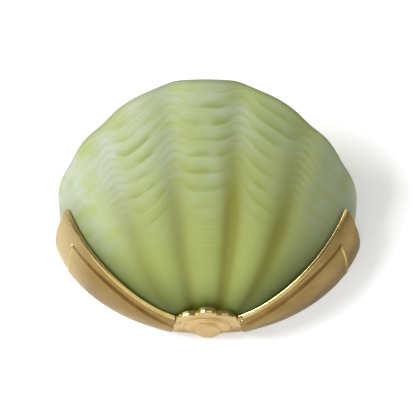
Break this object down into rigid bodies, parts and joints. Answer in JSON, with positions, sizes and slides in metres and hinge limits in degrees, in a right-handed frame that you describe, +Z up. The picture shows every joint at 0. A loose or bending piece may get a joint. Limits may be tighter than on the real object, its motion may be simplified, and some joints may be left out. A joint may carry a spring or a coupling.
{
  "type": "wall light",
  "caption": "Wall light with a fluted clam-shell shade of satin green glass, open at the top, in a brass gallery of tapering wings and a stepped shell motif.",
  "frame": {"origin": "centre of the two fixing slots, on the wall's plane", "axes": "+X to the right as seen from the room, +Z up, +Y into the wall"},
  "size_m": [0.3036, 0.1222, 0.2483],
  "materials": {
    "satin_glass": "satin frosted, translucent jade green",
    "cast_brass": "satin, with polished edges",
    "plated_steel": "zinc plated",
    "bright_brass": "turned",
    "phenolic": "moulded, black",
    "block_plastic": "moulded, off white",
    "contact_metal": "nickel plated",
    "bulb_opal": "clear",
    "bulb_black": "black vitreous insulator",
    "tungsten": "drawn wire",
    "live_brown": "cable insulation",
    "neutral_blue": "cable insulation",
    "earth_green": "cable insulation",
    "rubber_black": "moulded"
  },
  "bodies": {
    "fixture": {"glass_shade": "satin_glass", "right_wing": "cast_brass", "left_wing": "cast_brass", "centre_motif": "cast_brass", "motif_strap": "plated_steel", "motif_screws": "plated_steel", "foot_pad": "rubber_black", "back_frame": "plated_steel", "wing_screws": "plated_steel", "wall_plate": "plated_steel", "wall_plate_studs": "plated_steel", "clip_screws": "plated_steel", "lamp_arm": "plated_steel", "bracket_screws": "plated_steel", "nipple": "bright_brass", "nipple_washer": "plated_steel", "nipple_nut": "bright_brass", "lampholder_cap": "phenolic", "lampholder_body": "phenolic", "lampholder_screw_shell": "bright_brass", "lampholder_centre_contact": "bright_brass", "terminal_block": "block_plastic", "terminal_sleeves": "bright_brass", "terminal_screws": "plated_steel", "terminal_block_screws": "plated_steel", "live_lead": "live_brown", "neutral_lead": "neutral_blue", "earth_lead": "earth_green", "earth_tag": "contact_metal", "earth_barrel": "contact_metal", "earth_screw": "plated_steel", "cable_grommet": "rubber_black"},
    "bulb": {"bulb_cap": "contact_metal", "bulb_insulator": "bulb_black", "bulb_contact": "contact_metal", "bulb_glass": "bulb_opal", "bulb_stem": "bulb_opal", "bulb_filament": "tungsten"},
    "left_nut": {"left_thumb_nut": "bright_brass"},
    "right_nut": {"right_thumb_nut": "bright_brass"},
    "left_clip": {"left_shade_clip": "bright_brass"},
    "right_clip": {"right_shade_clip": "bright_brass"}
  },
  "joints": [
    {"name": "bulb_turn", "type": "hinge", "parent": "fixture", "child": "bulb", "pos_m": [0, -0.042, 0], "axis": [0, 0, 1], "continuous": true},
    {"name": "left_nut_turn", "type": "hinge", "parent": "fixture", "child": "left_nut", "pos_m": [-0.044, -0.008, 0], "axis": [0, -1, 0], "continuous": true},
    {"name": "right_nut_turn", "type": "hinge", "parent": "fixture", "child": "right_nut", "pos_m": [0.044, -0.008, 0], "axis": [0, -1, 0], "continuous": true},
    {"name": "left_clip_turn", "type": "hinge", "parent": "fixture", "child": "left_clip", "pos_m": [-0.12349, -0.007, -0.00481], "axis": [0, 1, 0], "range_deg": [0, 90]},
    {"name": "right_clip_turn", "type": "hinge", "parent": "fixture", "child": "right_clip", "pos_m": [0.12349, -0.007, -0.00481], "axis": [0, -1, 0], "range_deg": [0, 90]}
  ]
}
